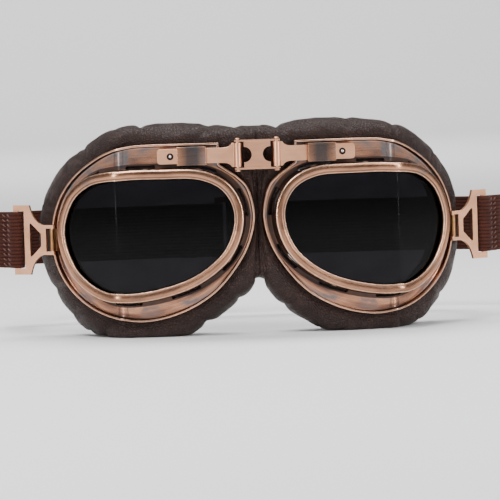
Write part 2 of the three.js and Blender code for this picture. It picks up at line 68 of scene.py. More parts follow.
# ------------------------------------------------------------------ driving sizes, millimetres
INNER_WRAP = math.radians(9)
OUTER_WRAP = math.radians(29)
FOLD_U = 61.0
FOLD_RADIUS = 2.5
EYE_Z = 46.0
FLOOR_BACK = 1.0
LIP_RISE = 2.2
LIP_THICK = 0.9
WALL_TOP = 5.4
BEZEL_WIDTH = 4.1
PANE_INSET = 2.6
PANE_FRONT = -5.0
PANE_BACK = -3.2
PANE_EASE = 0.12
SLOT_COUNT = 9
SLOT_LENGTH = 11.0
RELIEF_RADIUS = 0.95
BEZEL_LENGTH = 236.0
BEZEL_REACH = 36.0
BRACKET_TURN = math.radians(33)
BRACKET_U = 95.5
BRACKET_DEPTH = -3.7
OUTER_BAR_IN = 17.2
SHEET = 1.2
GAP = 0.35
WEB_WIDTH = 25.0
WEB_THICK = 1.5
STRAP_DROP = 3.0
SLIDE_BAR = 9.5
CUSHION_DEPTH = 24.0
FRONT_Y = FLOOR_BACK + GAP + 0.1
NOSE_HALF = 0.6
NOSE_FLARE = 0.22
NOSE_LOBE = 6.0
SIDES = {"right": 1, "left": -1}
SAME_POINT = 0.000002

# The CAD's origin is under the middle of the whole object, and the layout's is at the bridge.
# The slide's plate is centred on its place in the layout, which gives the shift between the two.
SLIDE_Y = 116.0
slide_low, slide_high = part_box("strap_slide")
SHIFT_Y = (slide_low.y + slide_high.y) / 2 * 1000 - SLIDE_Y
knuckle_low, knuckle_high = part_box("right_bracket_knuckle")
BRACKET_Z = (knuckle_low.z + knuckle_high.z) / 2 * 1000


def mm(points, side=1):
    """Layout points in millimetres, as row-frame points in metres. side -1 mirrors them."""
    points = np.array(points, float)
    points[..., 0] *= side
    points[..., 1] += SHIFT_Y
    return points / 1000


# ------------------------------------------------------------------ the bent frame surface
def place(u, z, depth):
    """u runs outward along the frame, z is up, and depth is backwards from the ring floor."""
    u, z, depth = np.broadcast_arrays(np.asarray(u, float), z, depth)
    arc_half = FOLD_RADIUS * OUTER_WRAP / 2
    along = np.minimum(u, FOLD_U - arc_half)
    turned = np.clip((u - (FOLD_U - arc_half)) / FOLD_RADIUS, 0, OUTER_WRAP)
    beyond = np.maximum(u - (FOLD_U + arc_half), 0)
    heading = INNER_WRAP + turned
    x = (along * math.cos(INNER_WRAP) + FOLD_RADIUS * (np.sin(heading) - math.sin(INNER_WRAP))
         + beyond * np.cos(heading) - depth * np.sin(heading))
    y = (along * math.sin(INNER_WRAP) + FOLD_RADIUS * (math.cos(INNER_WRAP) - np.cos(heading))
         + beyond * np.sin(heading) + depth * np.cos(heading))
    return np.stack([x, y, z], -1)


def catmull(points, closed=False, steps=60):
    """Centripetal Catmull-Rom curve through the points."""
    p = np.array(points, float)
    if closed:
        p = np.vstack([p[-1], p, p[0], p[1]])
    else:
        p = np.vstack([2 * p[0] - p[1], p, 2 * p[-1] - p[-2]])
    out = []
    for p0, p1, p2, p3 in zip(p, p[1:], p[2:], p[3:]):
        k = [max(np.linalg.norm(b - a), 1e-9) ** 0.5 for a, b in ((p0, p1), (p1, p2), (p2, p3))]
        m1 = ((p1 - p0) / k[0] - (p2 - p0) / (k[0] + k[1]) + (p2 - p1) / k[1]) * k[1]
        m2 = ((p2 - p1) / k[1] - (p3 - p1) / (k[1] + k[2]) + (p3 - p2) / k[2]) * k[1]
        t = np.linspace(0, 1, steps, endpoint=False)[:, None]
        out.append((2 * t ** 3 - 3 * t ** 2 + 1) * p1 + (t ** 3 - 2 * t ** 2 + t) * m1
                   + (3 * t ** 2 - 2 * t ** 3) * p2 + (t ** 3 - t ** 2) * m2)
    return np.vstack(out if closed else out + [p[-2][None]])


def polar(curve, soften=0.0):
    """A closed outline as its distance from the crease point at any angle."""
    ray = curve - np.array([FOLD_U, EYE_Z])
    angle = np.arctan2(ray[:, 1], ray[:, 0])
    reach = np.hypot(ray[:, 0], ray[:, 1])
    order = np.argsort(angle)
    grid = np.linspace(-math.pi, math.pi, 2880, endpoint=False)
    values = np.interp(grid, angle[order], reach[order], period=2 * math.pi)
    if soften:
        width = max(1, round(math.radians(soften) / (grid[1] - grid[0])))
        kernel = np.hanning(2 * width + 1)
        padded = np.concatenate([values[-width:], values, values[:width]])
        values = np.convolve(padded, kernel / kernel.sum(), "valid")
    return lambda a: np.interp(a, grid, values, period=2 * math.pi)


def straight(start, end):
    return np.linspace(start, end, 40, endpoint=False)


bezel_reach = polar(catmull([
    (24, 73.2), (42, 74.1), (61, 73.7), (74, 71.2), (84.5, 63.5), (90.3, 50), (89, 38.5),
    (82.5, 27), (71.5, 19), (61, 16.2), (44, 17.6), (25.6, 23.9), (11.9, 35.2), (6.4, 48.4),
    (7.1, 59), (13, 68),
], closed=True))
SHOULDER_OUT = (16.5, 85.1)
SHOULDER_IN = (16.5, 75.6)
SHOULDER_FOOT = (9.3, 70.8)
FLAT_END = (45, 85.1)
ring_reach = polar(np.vstack([
    straight(FLAT_END, SHOULDER_OUT), straight(SHOULDER_OUT, SHOULDER_IN),
    straight(SHOULDER_IN, SHOULDER_FOOT),
    catmull([
        SHOULDER_FOOT, (4.6, 66), (1.6, 55), (2.3, 46.8), (5.8, 37.2), (11.8, 28), (19.8, 19.4),
        (29.7, 13), (41, 8.8), (52, 7.2), (61, 8.2), (72.2, 11.2), (82, 16.4), (89.3, 23),
        (94.8, 32), (97.1, 43), (95.6, 54.6), (91, 64.2), (83.8, 72), (75.2, 77.8),
        (65.8, 82.2), (56, 84.6), FLAT_END,
    ]),
]), soften=0.35)
NOSE_TOP = (0.2, 91.6)
NOSE_ARCH = (0.2, 24.0)
cushion_reach = polar(np.vstack([
    straight(NOSE_ARCH, NOSE_TOP),
    catmull([
        NOSE_TOP, (22, 92.4), (45, 92.8), (60, 91.4), (71.5, 88), (83.5, 81.5), (94, 72),
        (101.8, 59.5), (104.5, 45), (102.5, 31), (96, 18), (85.5, 7), (71.5, -0.6),
        (57, -3.4), (44, -3.2), (33, -0.4), (22.5, 5.4), (9.6, 14.8), NOSE_ARCH,
    ]),
]), soften=2.0)


def spots(reach, angle):
    return np.stack([FOLD_U + reach(angle) * np.cos(angle),
                     EYE_Z + reach(angle) * np.sin(angle)], -1)


def normals(reach, angle, step=0.004):
    along = spots(reach, angle + step) - spots(reach, angle - step)
    out = np.stack([along[:, 1], -along[:, 0]], -1)
    return out / np.linalg.norm(out, axis=1, keepdims=True)


def even_angles(reach, count, offset=0.5):
    fine = np.linspace(-math.pi, math.pi, 4001)
    legs = np.linalg.norm(np.diff(spots(reach, fine), axis=0), axis=1)
    length = np.concatenate([[0], np.cumsum(legs)])
    return np.interp((np.arange(count) + offset) / count * length[-1], length, fine)


def near_bezel(angle, a):
    return spots(bezel_reach, angle) + a * normals(bezel_reach, angle)


def near_ring(angle, a):
    ray = spots(ring_reach, angle)
    inward = np.array([FOLD_U, EYE_Z]) - ray
    inward /= np.linalg.norm(inward, axis=1, keepdims=True)
    square = np.maximum(0.55, -(inward * normals(ring_reach, angle)).sum(1))
    return ray - inward * (a / square)[:, None]


# ------------------------------------------------------------------ mesh helpers
def new_object(name, mesh):
    piece = bpy.data.objects.new(name, mesh)
    bpy.context.scene.collection.objects.link(piece)
    return piece


def grid_mesh(name, rows, side=1, close_u=True, lengths=None, **marks):
    """Skins an N x M grid of layout points, closed across. UVs are true lengths in millimetres:
    U along the rows' direction of travel, V across. marks are point attributes, with a value for
    each column or for each point."""
    n, m = rows.shape[:2]
    points = mm(rows, side)
    mesh = bpy.data.meshes.new(name)
    nu = n if close_u else n - 1
    i, j = np.meshgrid(np.arange(nu), np.arange(m), indexing="ij")
    i, j = i.ravel(), j.ravel()
    i2, j2 = (i + 1) % n, (j + 1) % m
    quads = np.stack([i * m + j, i2 * m + j, i2 * m + j2, i * m + j2], -1)
    if lengths is None:
        middle = rows.mean(1)
        step_u = np.linalg.norm(np.roll(middle, -1, 0) - middle, axis=1)
        across = np.linalg.norm(np.roll(rows, -1, 1) - rows, axis=2).mean(0)
        lengths = np.concatenate([[0], np.cumsum(step_u)]), np.concatenate([[0], np.cumsum(across)])
    lu, lv = lengths
    uv = np.stack([
        np.stack([lu[i], lv[j]], -1), np.stack([lu[i + 1], lv[j]], -1),
        np.stack([lu[i + 1], lv[j + 1]], -1), np.stack([lu[i], lv[j + 1]], -1),
    ], 1)
    volume = np.einsum("ij,ij->i", points.reshape(-1, 3)[quads[:, 0]], np.cross(
        points.reshape(-1, 3)[quads[:, 1]], points.reshape(-1, 3)[quads[:, 3]])).sum()
    if volume < 0:
        quads = quads[:, ::-1]
        uv = uv[:, ::-1]
    mesh.from_pydata(points.reshape(-1, 3).tolist(), [], quads.tolist())
    layer = mesh.uv_layers.new(name="lengths")
    layer.data.foreach_set("uv", uv.reshape(-1).astype(np.float32))
    for mark, values in marks.items():
        attribute = mesh.attributes.new(mark, "FLOAT", "POINT")
        full = np.broadcast_to(values, (n, m)).ravel()
        attribute.data.foreach_set("value", full.astype(np.float32))
    mesh.shade_smooth()
    return new_object(name, mesh)


def cap_ends(piece, m):
    """Closes the two open ends of a grid that is closed across, with m points to a section."""
    bm = bmesh.new()
    bm.from_mesh(piece.data)
    bm.verts.ensure_lookup_table()
    n = len(bm.verts) // m
    layer = bm.loops.layers.uv.active
    for ring in (range(m), range((n - 1) * m, n * m)):
        face = bm.faces.new([bm.verts[k] for k in ring])
        for loop in face.loops:
            loop[layer].uv = (loop.vert.co.x * 1000, loop.vert.co.z * 1000)
    bmesh.ops.recalc_face_normals(bm, faces=bm.faces)
    bm.to_mesh(piece.data)
    bm.free()


def add_tube(bm, loops):
    """Skins closed loops of points, one after another, into a tube with closed ends."""
    rings = [[bm.verts.new(point) for point in loop] for loop in loops]
    for a, b in zip(rings, rings[1:]):
        for j in range(len(a)):
            k = (j + 1) % len(a)
            bm.faces.new((a[j], b[j], b[k], a[k]))
    bm.faces.new(rings[0])
    bm.faces.new(rings[-1])


def tube_object(name, bm):
    bmesh.ops.recalc_face_normals(bm, faces=bm.faces)
    mesh = bpy.data.meshes.new(name)
    bm.to_mesh(mesh)
    bm.free()
    return new_object(name, mesh)


def sharpen(piece, degrees=35):
    piece.data.set_sharp_from_angle(angle=math.radians(degrees))


def rounded(corners, radius, steps=4):
    """Rounds the corners of closed sections, given as N x K x 3. Returns the new sections, the wear
    mark of each new point, 1 on a rounded corner and 0 beside it, and the points per corner."""
    back = np.roll(corners, 1, 1) - corners
    ahead = np.roll(corners, -1, 1) - corners
    back_len = np.linalg.norm(back, axis=2, keepdims=True)
    ahead_len = np.linalg.norm(ahead, axis=2, keepdims=True)
    r_back = np.minimum(radius, 0.3 * back_len)
    r_ahead = np.minimum(radius, 0.3 * ahead_len)
    back, ahead = back / back_len, ahead / ahead_len
    out, wear = [], []
    for k in range(corners.shape[1]):
        c = corners[:, k]
        start = c + back[:, k] * r_back[:, k]
        end = c + ahead[:, k] * r_ahead[:, k]
        out.append(c + back[:, k] * np.minimum(r_back[:, k] + 0.35, 0.46 * back_len[:, k]))
        wear.append(0)
        for t in np.linspace(0, 1, steps):
            out.append((1 - t) ** 2 * start + 2 * t * (1 - t) * c + t ** 2 * end)
            wear.append(1)
        out.append(c + ahead[:, k] * np.minimum(r_ahead[:, k] + 0.35, 0.46 * ahead_len[:, k]))
        wear.append(0)
    return np.stack(out, 1), np.array(wear, float), steps + 2


def apply_modifiers(piece):
    graph = bpy.context.evaluated_depsgraph_get()
    mesh = bpy.data.meshes.new_from_object(piece.evaluated_get(graph))
    piece.modifiers.clear()
    piece.data = mesh


def finish_piece(piece, body, slot, material, *nodes):
    piece.data.materials.clear()
    piece.data.materials.append(material)
    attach(piece, body)
    if nodes:
        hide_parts(*nodes)
    return piece


# ------------------------------------------------------------------ materials
class Nodes:
    """A short way to wire a material's nodes."""

    def __init__(self, name):
        self.material = bpy.data.materials.new(name)
        self.material.use_nodes = True
        self.tree = self.material.node_tree
        self.shader = self.tree.nodes["Principled BSDF"]

    def add(self, kind, **values):
        node = self.tree.nodes.new(kind)
        for key, value in values.items():
            if hasattr(node, key):
                setattr(node, key, value)
            else:
                self.put(node, key.replace("_", " "), value)
        return node

    def put(self, node, socket, value):
        if isinstance(socket, str):
            matches = [s for s in node.inputs if s.name.lower() == socket.lower() and s.enabled]
            target = matches[0]
        else:
            target = node.inputs[socket]
        if isinstance(value, bpy.types.NodeSocket):
            self.tree.links.new(value, target)
        else:
            target.default_value = value

    def coords(self, scale=(1, 1, 1), uv=False):
        if uv:
            source = self.add("ShaderNodeUVMap")
            source.uv_map = "lengths"
            vector = source.outputs["UV"]
        else:
            vector = self.add("ShaderNodeTexCoord").outputs["Object"]
        mapping = self.add("ShaderNodeMapping")
        self.put(mapping, "Vector", vector)
        self.put(mapping, "Scale", scale)
        return mapping.outputs["Vector"]

    def noise(self, vector, scale, detail=4.0, rough=0.55, distortion=0.0):
        node = self.add("ShaderNodeTexNoise", Scale=scale, Detail=detail, Roughness=rough,
                        Distortion=distortion)
        self.put(node, "Vector", vector)
        return node.outputs["Fac"]

    def ramp(self, fac, low, high, a=0.0, b=1.0):
        node = self.add("ShaderNodeMapRange")
        self.put(node, "Value", fac)
        for name, value in (("From Min", low), ("From Max", high), ("To Min", a), ("To Max", b)):
            self.put(node, name, value)
        return node.outputs["Result"]

    def math(self, operation, a, b=0.0):
        node = self.add("ShaderNodeMath", operation=operation)
        self.put(node, 0, a)
        self.put(node, 1, b)
        return node.outputs[0]

    def mix(self, fac, a, b):
        node = self.add("ShaderNodeMix", data_type="RGBA")
        self.put(node, "Factor", fac)
        colours = [s for s in node.inputs if s.type == "RGBA"]
        for socket, value in zip(colours, (a, b)):
            if isinstance(value, bpy.types.NodeSocket):
                self.tree.links.new(value, socket)
            else:
                socket.default_value = (*value, 1.0)
        return [s for s in node.outputs if s.type == "RGBA"][0]

    def bump(self, height, strength, distance, normal=None):
        node = self.add("ShaderNodeBump", Strength=strength, Distance=distance)
        self.put(node, "Height", height)
        if normal is not None:
            self.put(node, "Normal", normal)
        return node.outputs["Normal"]

    def set(self, **values):
        for key, value in values.items():
            self.put(self.shader, key.replace("_", " "), value)
        return self.material


# Paler edge colour: real rubbing, and on the bezel's rims also a painted highlight.
WORN_AND_HIGHLIGHT = (0.95, 0.58, 0.39)
# The colour that painted shade darkens hollows, creases and cuts towards.
PAINTED_SHADE_COLOUR = (0.03, 0.026, 0.026)
# The colour of the shade painted over the middle of a part.
MIDDLE_SHADE_COLOUR = (0.055, 0.062, 0.07)


def shaded_edge(n):
    """Marks a CAD node's edges by how far a small radius on them would turn the normal."""
    rolled = n.add("ShaderNodeBevel", samples=6, Radius=0.00035).outputs["Normal"]
    flat = n.add("ShaderNodeNewGeometry").outputs["Normal"]
    dot = n.add("ShaderNodeVectorMath", operation="DOT_PRODUCT")
    n.put(dot, 0, rolled)
    n.put(dot, 1, flat)
    return n.ramp(dot.outputs["Value"], 0.99, 0.86)


def paint_shaded_middle(n, colour, middle, half):
    """Paints shade over the middle of a part, given by its distance from x = 0 and its half length."""
    split = n.add("ShaderNodeSeparateXYZ")
    n.put(split, "Vector", n.add("ShaderNodeTexCoord").outputs["Object"])
    off = n.math("SUBTRACT", n.math("ABSOLUTE", split.outputs["X"]), middle)
    share = n.ramp(n.math("ABSOLUTE", off), half * 0.95, half * 0.3, 0.0, 0.85)
    return n.mix(share, colour, MIDDLE_SHADE_COLOUR)


def metal(name, bright, dark, patina, patina_share, brush, uv=False, roughness=0.3, worn_and_highlight=WORN_AND_HIGHLIGHT,
          shaded_middle=None):
    """Plated metal: fine brushing, bands of patina and paler rubbed edges. brush is the scale of the
    brushing's noise per mm, small along it and large across it. Pieces made here (uv) mark their edges
    with the wear attribute, which on the ring's lip and the bezel's rims is partly real rubbing and
    partly a painted highlight, and mark painted shade in their hollows, creases and cuts with the soot
    attribute. shaded_middle is a part's middle and half length, where shade is painted over its
    middle."""
    n = Nodes(name)
    unit = 1 if uv else 1000

    def grain(scale, detail, rough, distortion=0.0):
        vector = n.coords(tuple(unit * s for s in scale), uv)
        return n.noise(vector, 1.0, detail, rough, distortion)

    fine = grain(brush, 3.0, 0.6)
    streak = grain([0.4 * b for b in brush], 3.0, 0.55)
    blotch = grain((0.035, 0.2, 0.02) if uv else (0.05, 0.05, 0.12), 4.0, 0.5)
    cloud = grain((0.06, 0.12, 0.02) if uv else (0.09, 0.09, 0.06), 3.0, 0.55, 0.35)
    small = grain((0.5, 0.5, 0.5), 4.0, 0.6)
    base = n.mix(n.ramp(blotch, 0.38, 0.56), dark, bright)
    base = n.mix(n.ramp(streak, 0.35, 0.65, 0.0, 0.42), base, dark)
    base = n.mix(n.ramp(fine, 0.35, 0.65, 0.0, 0.25), base, dark)
    bands_from = 0.66 - 0.3 * patina_share
    bands = n.math("MULTIPLY", n.ramp(cloud, bands_from, bands_from + 0.2),
                   n.ramp(small, 0.25, 0.6, 0.6, 1.0))
    colour = n.mix(bands, base, patina)
    rough = n.math("ADD", n.ramp(fine, 0.3, 0.7, roughness - 0.06, roughness + 0.07),
                   n.math("MULTIPLY", bands, 0.08))
    if uv:
        # Paler edges: real rubbing, and on the ring's lip and the bezel's rims also a painted
        # highlight.
        edge = n.add("ShaderNodeAttribute", attribute_name="wear").outputs["Fac"]
        # Painted shade in hollows, creases and cuts, which are also duller.
        soot = n.add("ShaderNodeAttribute", attribute_name="soot").outputs["Fac"]
        colour = n.mix(n.math("MULTIPLY", soot, 0.85), colour, PAINTED_SHADE_COLOUR)
        rough = n.math("ADD", rough, n.math("MULTIPLY", soot, 0.2))
    else:
        edge = shaded_edge(n)
    # Painted shade over the middle of the part.
    if shaded_middle:
        colour = paint_shaded_middle(n, colour, *shaded_middle)
    share = n.math("MULTIPLY", edge, n.ramp(small, 0.3, 0.6, 0.4, 0.95))
    return n.set(Base_Color=n.mix(share, colour, worn_and_highlight), Metallic=1.0, Roughness=rough,
                 Normal=n.bump(fine, 0.35, 0.00003))


ROSE = (0.86, 0.445, 0.27)
COPPER = (0.68, 0.335, 0.205)
COPPER_DARK = (0.16, 0.082, 0.06)
PATINA = (0.12, 0.138, 0.152)
sleeve_low, sleeve_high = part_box("right_bridge_sleeve")
SLEEVE = ((sleeve_low.x + sleeve_high.x) / 2, (sleeve_high.x - sleeve_low.x) / 2)

satin = metal("satin_copper", ROSE, (0.68, 0.34, 0.205), (0.42, 0.25, 0.17), 0.1,
              (0.25, 0.25, 9.0), roughness=0.36)
# The ring's paler lip edges are partly real rubbing and partly a painted highlight.
ring_metal = metal("ring_copper", COPPER, COPPER_DARK, PATINA, 0.6, (0.10, 6.0, 1.0), uv=True,
                   roughness=0.27, worn_and_highlight=(0.88, 0.52, 0.35))
# The bezel's paler rims are partly real rubbing and partly a painted highlight.
bezel_metal = metal("bezel_copper", (0.54, 0.27, 0.16), (0.22, 0.112, 0.072),
                    (0.17, 0.145, 0.13), 0.4, (0.5, 7.0, 1.0), uv=True, roughness=0.25)
# The sleeve has shade painted over its middle.
sleeve_metal = metal("sleeve_copper", (0.55, 0.27, 0.16), (0.36, 0.18, 0.11),
                     (0.20, 0.225, 0.245), 0.5, (0.1, 0.1, 8.0), roughness=0.27, shaded_middle=SLEEVE)
tab_metal = metal("tab_brass", (0.44, 0.23, 0.095), (0.26, 0.13, 0.06), (0.11, 0.07, 0.04), 0.3,
                  (6.0, 6.0, 0.5), roughness=0.33)
# The rivet cup's near-black is partly patina and partly painted shade in the hollow round the rivet
# head.
rivet_patina_and_shade = metal("rivet_patina_and_shade", (0.06, 0.045, 0.04), (0.02, 0.017, 0.016), (0.02, 0.02, 0.022),
                   0.4, (3.0, 3.0, 3.0), uv=True, roughness=0.38)
rivet_bright = metal("rivet_bright", (0.72, 0.70, 0.68), (0.5, 0.47, 0.45), (0.3, 0.3, 0.31), 0.1,
                     (3.0, 3.0, 3.0), uv=True, roughness=0.18)


def rubber_material():
    n = Nodes("gasket_rubber")
    grain = n.noise(n.coords((900,) * 3), 1.0, 3.0)
    colour = n.mix(n.ramp(grain, 0.3, 0.7), (0.010, 0.010, 0.011), (0.022, 0.022, 0.024))
    return n.set(Base_Color=colour, Roughness=n.ramp(grain, 0.3, 0.7, 0.5, 0.65),
                 Normal=n.bump(grain, 0.2, 0.00003))


def lens_material():
    n = Nodes("smoked_lens")
    smear = n.noise(n.coords((60, 60, 140)), 1.0, 4.0, 0.6, 0.4)
    specks = n.noise(n.coords((1500,) * 3), 1.0, 1.0)
    dust = n.ramp(specks, 0.82, 0.84, 0.0, 0.06)
    rough = n.math("ADD", n.ramp(smear, 0.45, 0.8, 0.0, 0.02), dust)
    n.put(n.shader, "Transmission Weight", 1.0)
    n.put(n.shader, "IOR", 1.19)
    tint = n.mix(n.ramp(smear, 0.3, 0.7), (0.0055, 0.005, 0.0065), (0.010, 0.0095, 0.012))
    return n.set(Base_Color=tint, Roughness=rough)


def leather_material():
    """Soft dark leather: a pebbled grain, fine pores, long rubbed creases and a dull shine."""
    n = Nodes("leather")
    spot = n.coords((1000, 1000, 1000))
    warp = n.add("ShaderNodeTexNoise", Scale=0.9, Detail=2.0)
    n.put(warp, "Vector", spot)
    bent = n.add("ShaderNodeVectorMath", operation="ADD")
    n.put(bent, 0, spot)
    n.put(bent, 1, warp.outputs["Color"])
    cells = n.add("ShaderNodeTexVoronoi", feature="DISTANCE_TO_EDGE", Scale=0.85)
    n.put(cells, "Vector", bent.outputs["Vector"])
    grain = n.ramp(cells.outputs["Distance"], 0.0, 0.22)
    pores = n.noise(spot, 2.2, 3.0, 0.6)
    crease = n.noise(n.coords((60, 60, 100)), 1.0, 7.0, 0.62, 1.3)
    cloud = n.noise(n.coords((34,) * 3), 1.0, 4.0, 0.6)
    base = n.mix(n.ramp(cloud, 0.3, 0.7), (0.0205, 0.0086, 0.0063), (0.039, 0.0178, 0.0134))
    rubbed = n.mix(n.math("MULTIPLY", n.ramp(crease, 0.5, 0.72), 0.6), base,
                   (0.070, 0.035, 0.0265))
    colour = n.mix(n.ramp(grain, 0.0, 1.0, 0.75, 0.0), rubbed, (0.006, 0.0036, 0.0032))
    height = n.math("ADD", grain, n.math("MULTIPLY", pores, 0.5))
    pebbles = n.bump(height, 0.9, 0.0003)
    rough = n.math("ADD", n.ramp(crease, 0.35, 0.7, 0.46, 0.34), n.ramp(pores, 0.4, 0.7, 0, 0.1))
    n.put(n.shader, "Specular IOR Level", 0.26)
    return n.set(Base_Color=colour, Roughness=rough, Normal=n.bump(crease, 0.35, 0.0006, pebbles))


def webbing_material():
    """Ribbed elastic: ribs run along the strap, and small slanted stitches cross each one. Shade is
    painted into the grooves between the ribs.
    """
    n = Nodes("webbing")
    uv = n.add("ShaderNodeUVMap", uv_map="lengths").outputs["UV"]
    split = n.add("ShaderNodeSeparateXYZ")
    n.put(split, "Vector", uv)
    along, across = split.outputs["X"], split.outputs["Y"]
    slant = n.math("ADD", along, n.math("MULTIPLY", n.math("PINGPONG", across, 0.9), 0.8))
    twill = n.math("PINGPONG", slant, 0.45)
    knit = n.ramp(twill, 0.0, 0.45)
    fuzz = n.noise(n.coords((2600,) * 3), 1.0, 2.0)
    broad = n.noise(n.coords((120,) * 3), 1.0, 3.0)
    base = n.mix(n.ramp(broad, 0.3, 0.7), (0.048, 0.0115, 0.0065), (0.072, 0.018, 0.010))
    colour = n.mix(n.math("MULTIPLY", knit, 0.55), base, (0.022, 0.0065, 0.0045))
    # Painted shade in the grooves between the ribs.
    groove_shade = n.math("SUBTRACT", 1.0, n.add("ShaderNodeAttribute", attribute_name="rib").outputs["Fac"])
    colour = n.mix(n.math("MULTIPLY", groove_shade, 0.8), colour, (0.010, 0.0035, 0.0025))
    colour = n.mix(n.ramp(fuzz, 0.55, 0.8, 0.0, 0.2), colour, (0.12, 0.038, 0.024))
    height = n.math("ADD", knit, n.math("MULTIPLY", fuzz, 0.7))
    n.put(n.shader, "Sheen Weight", 0.03)
    n.put(n.shader, "Sheen Roughness", 0.5)
    n.put(n.shader, "Specular IOR Level", 0.15)
    return n.set(Base_Color=colour, Roughness=n.ramp(fuzz, 0.3, 0.7, 0.75, 0.95),
                 Normal=n.bump(height, 0.7, 0.00018))


def soft_material(name, dark, light, scale, rough):
    n = Nodes(name)
    nap = n.noise(n.coords((scale,) * 3), 1.0, 4.0, 0.7)
    colour = n.mix(n.ramp(nap, 0.35, 0.65), dark, light)
    n.put(n.shader, "Sheen Weight", 0.3)
    return n.set(Base_Color=colour, Roughness=rough, Normal=n.bump(nap, 0.6, 0.0003))


gasket_rubber = rubber_material()
smoked_lens = lens_material()
leather = leather_material()
webbing = webbing_material()
thread = soft_material("thread", (0.05, 0.016, 0.011), (0.13, 0.045, 0.03), 3000, 0.8)
lining = soft_material("lining", (0.010, 0.009, 0.010), (0.035, 0.032, 0.034), 2400, 0.9)

# ------------------------------------------------------------------ eye frames
STATIONS = 400
frame_angles = even_angles(ring_reach, STATIONS)


def developed(pairs):
    """(uv spots, depth) pairs as an N x K x 3 array of developed points."""
    return np.stack([np.column_stack([spot, np.full(len(spot), depth)]) for spot, depth in pairs], 1)


def bend(sections):
    return place(sections[..., 0], sections[..., 1], sections[..., 2])


def slot_cutters(side):
    """One mesh of all the vent slot cutters and the relief holes at their ends."""
    through = FLOOR_BACK + 1
    slot_section = [(-2, 0.9 - WALL_TOP), (1.75, 0.9 - WALL_TOP), (1.75, through), (0.25, through),
                    (0.25, -0.4), (-2, -0.4)]
    turns = np.linspace(0, 2 * math.pi, 16, endpoint=False)
    bm = bmesh.new()
    for middle in even_angles(bezel_reach, SLOT_COUNT):
        spread = math.pi * SLOT_LENGTH / BEZEL_LENGTH * BEZEL_REACH / bezel_reach(middle)
        angles = middle + spread * np.linspace(-1, 1, 13)
        add_tube(bm, mm(bend(developed([(near_bezel(angles, offset), depth)
                                        for offset, depth in slot_section])), side))
        for end in (angles[0], angles[-1]):
            centre = near_bezel(np.array([end]), 1.0)[0]
            circle = centre + RELIEF_RADIUS * np.stack([np.cos(turns), np.sin(turns)], -1)
            add_tube(bm, [mm(place(circle[:, 0], circle[:, 1], depth), side)
                          for depth in (-3.4, through)])
    return tube_object("slots", bm)


def marked(chosen, count, per_corner, value=1.0):
    """The value at every rounded point of the chosen corners of a section, and 0 at the rest."""
    return np.repeat([value * (k in chosen) for k in range(count)], per_corner)


def frame_ring(name, side):
    """The pressed ring with its slots cut through. Shade is painted in its gutter by the bezel wall,
    on its back face, on two lines beside the fold and round each cut, and its lip's edges are paler,
    partly real rubbing and partly a painted highlight.
    """
    a = frame_angles
    lip_out, lip_in = near_ring(a, 0), near_ring(a, -LIP_THICK)
    corners = developed([
        (near_bezel(a, -0.9), -WALL_TOP), (near_bezel(a, -0.1), -WALL_TOP),
        (near_bezel(a, 0.4), -0.1), (near_bezel(a, 1.9), 0.0), (near_bezel(a, 3.0), 0.0),
        (near_ring(a, -LIP_THICK - 0.5), 0.0), (lip_in, -0.5), (lip_in, -LIP_RISE),
        (lip_out, -LIP_RISE), (lip_out, FLOOR_BACK), (near_bezel(a, -0.4), FLOOR_BACK)])
    sections, wear, per_corner = rounded(corners, 0.3)
    count = corners.shape[1]
    # The lip's paler edges: partly real rubbing, partly a painted highlight.
    lip_edges = marked((7, 8), count, per_corner)
    # Painted shade in the gutter along the bezel wall and on the back face, and fainter painted shade
    # on two lines beside the fold.
    gutter = marked((0, 1, 2, 3, 10), count, per_corner)
    beside_fold = np.abs(np.abs(sections[..., 0] - FOLD_U) - 1.9) < 0.45
    ring = grid_mesh(f"{name}_ring", bend(sections), side, wear=wear * lip_edges,
                     soot=np.maximum(gutter[None], 0.55 * beside_fold))
    cutters = slot_cutters(side)
    cut = ring.modifiers.new("slots", "BOOLEAN")
    cut.operation = "DIFFERENCE"
    cut.solver = "EXACT"
    cut.use_self = True
    cut.object = cutters
    uncut = KDTree(len(ring.data.vertices))
    for vertex in ring.data.vertices:
        uncut.insert(vertex.co, vertex.index)
    uncut.balance()
    apply_modifiers(ring)
    bpy.data.objects.remove(cutters)
    # Painted shade round each cut: every point the cut made is fully shaded.
    soot = ring.data.attributes["soot"].data
    for vertex in ring.data.vertices:
        if uncut.find(vertex.co)[2] > SAME_POINT:
            soot[vertex.index].value = 1.0
    sharpen(ring, 32)
    return ring


def lens_bezel(name, side):
    """The rolled rim over the panes, with a bead inside it. Its outer edge, the bead and its inner
    edge are paler, partly real rubbing and partly a painted highlight. Shade is painted into the
    grooves beside the bead and along the rim's two back edges, which are also duller.
    """
    profile = [(0.0, -5.75), (0.0, -6.7), (-0.3, -7.08), (-1.0, -7.33), (-1.8, -7.42),
               (-2.6, -7.38), (-3.3, -7.2), (-3.55, -7.06), (-3.75, -7.14), (-4.0, -7.04),
               (-BEZEL_WIDTH, -6.75), (-BEZEL_WIDTH, -5.75)]
    corners = developed([(near_bezel(frame_angles, offset), depth) for offset, depth in profile])
    sections, wear, per_corner = rounded(corners, 0.16, 3)
    # Paler outer edge, bead and inner edge: partly real rubbing, partly a painted highlight.
    rims = marked((1, 2, 8, 9, 10), len(profile), per_corner)
    # Painted shade in the grooves beside the bead and on the two back edges.
    grooves = marked((0, 6, 7, 11), len(profile), per_corner, 0.6)
    bezel = grid_mesh(f"{name}_bezel", bend(sections), side, wear=wear * rims, soot=grooves)
    sharpen(bezel, 50)
    return bezel


